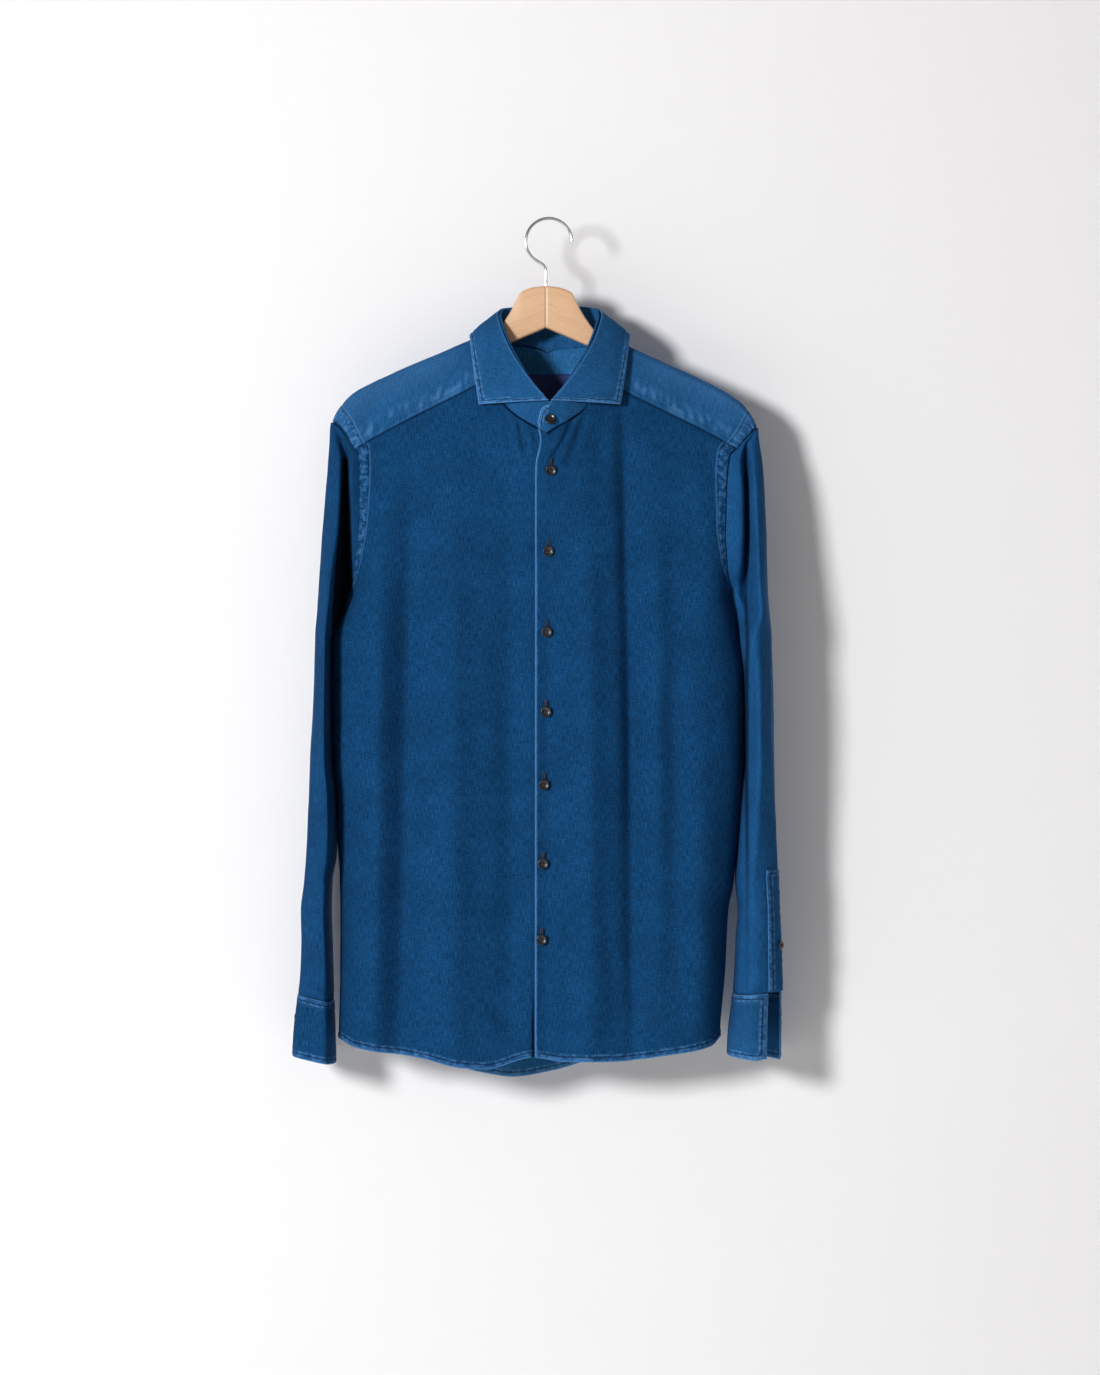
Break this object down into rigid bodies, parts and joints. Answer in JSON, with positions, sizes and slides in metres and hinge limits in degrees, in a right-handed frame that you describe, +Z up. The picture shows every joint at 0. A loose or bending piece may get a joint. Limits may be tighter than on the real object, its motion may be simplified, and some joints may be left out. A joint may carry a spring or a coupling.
{
  "type": "denim shirt on a wooden hanger",
  "caption": "Long-sleeved button-through denim shirt with a spread collar and a shoulder yoke, hanging buttoned up on a wooden hanger with a wire hook.",
  "frame": {"origin": "inner crown of the hanger's hook, where the rail bears, over the hanger's centre line", "axes": "+Z up, -Y towards the viewer of the shirt's front, +X to the right as the front is seen"},
  "size_m": [0.5147, 0.134, 0.9111],
  "materials": {
    "denim": "indigo twill, washed, pale at the seam edges",
    "collar_denim": "indigo twill, washed paler than the body",
    "label": "smooth woven tape",
    "horn": "polished",
    "beech": "clear satin lacquer",
    "chrome": "polished"
  },
  "bodies": {
    "root": {"front_under": "denim", "front_over": "denim", "back": "denim", "yoke": "denim", "sleeve_left": "denim", "sleeve_right": "denim", "sleeve_placket_left": "denim", "sleeve_placket_right": "denim", "cuff_left": "denim", "cuff_right": "denim", "collar_stand": "collar_denim", "collar_leaf": "collar_denim", "neck_label": "label", "button_stand": "horn", "button_1": "horn", "button_2": "horn", "button_3": "horn", "button_4": "horn", "button_5": "horn", "button_6": "horn", "button_7": "horn", "button_sleeve_left": "horn", "button_sleeve_right": "horn", "button_cuff_left": "horn", "button_cuff_right": "horn", "hanger_arm_left": "beech", "hanger_arm_right": "beech", "hanger_hook": "chrome"}
  },
  "joints": []
}
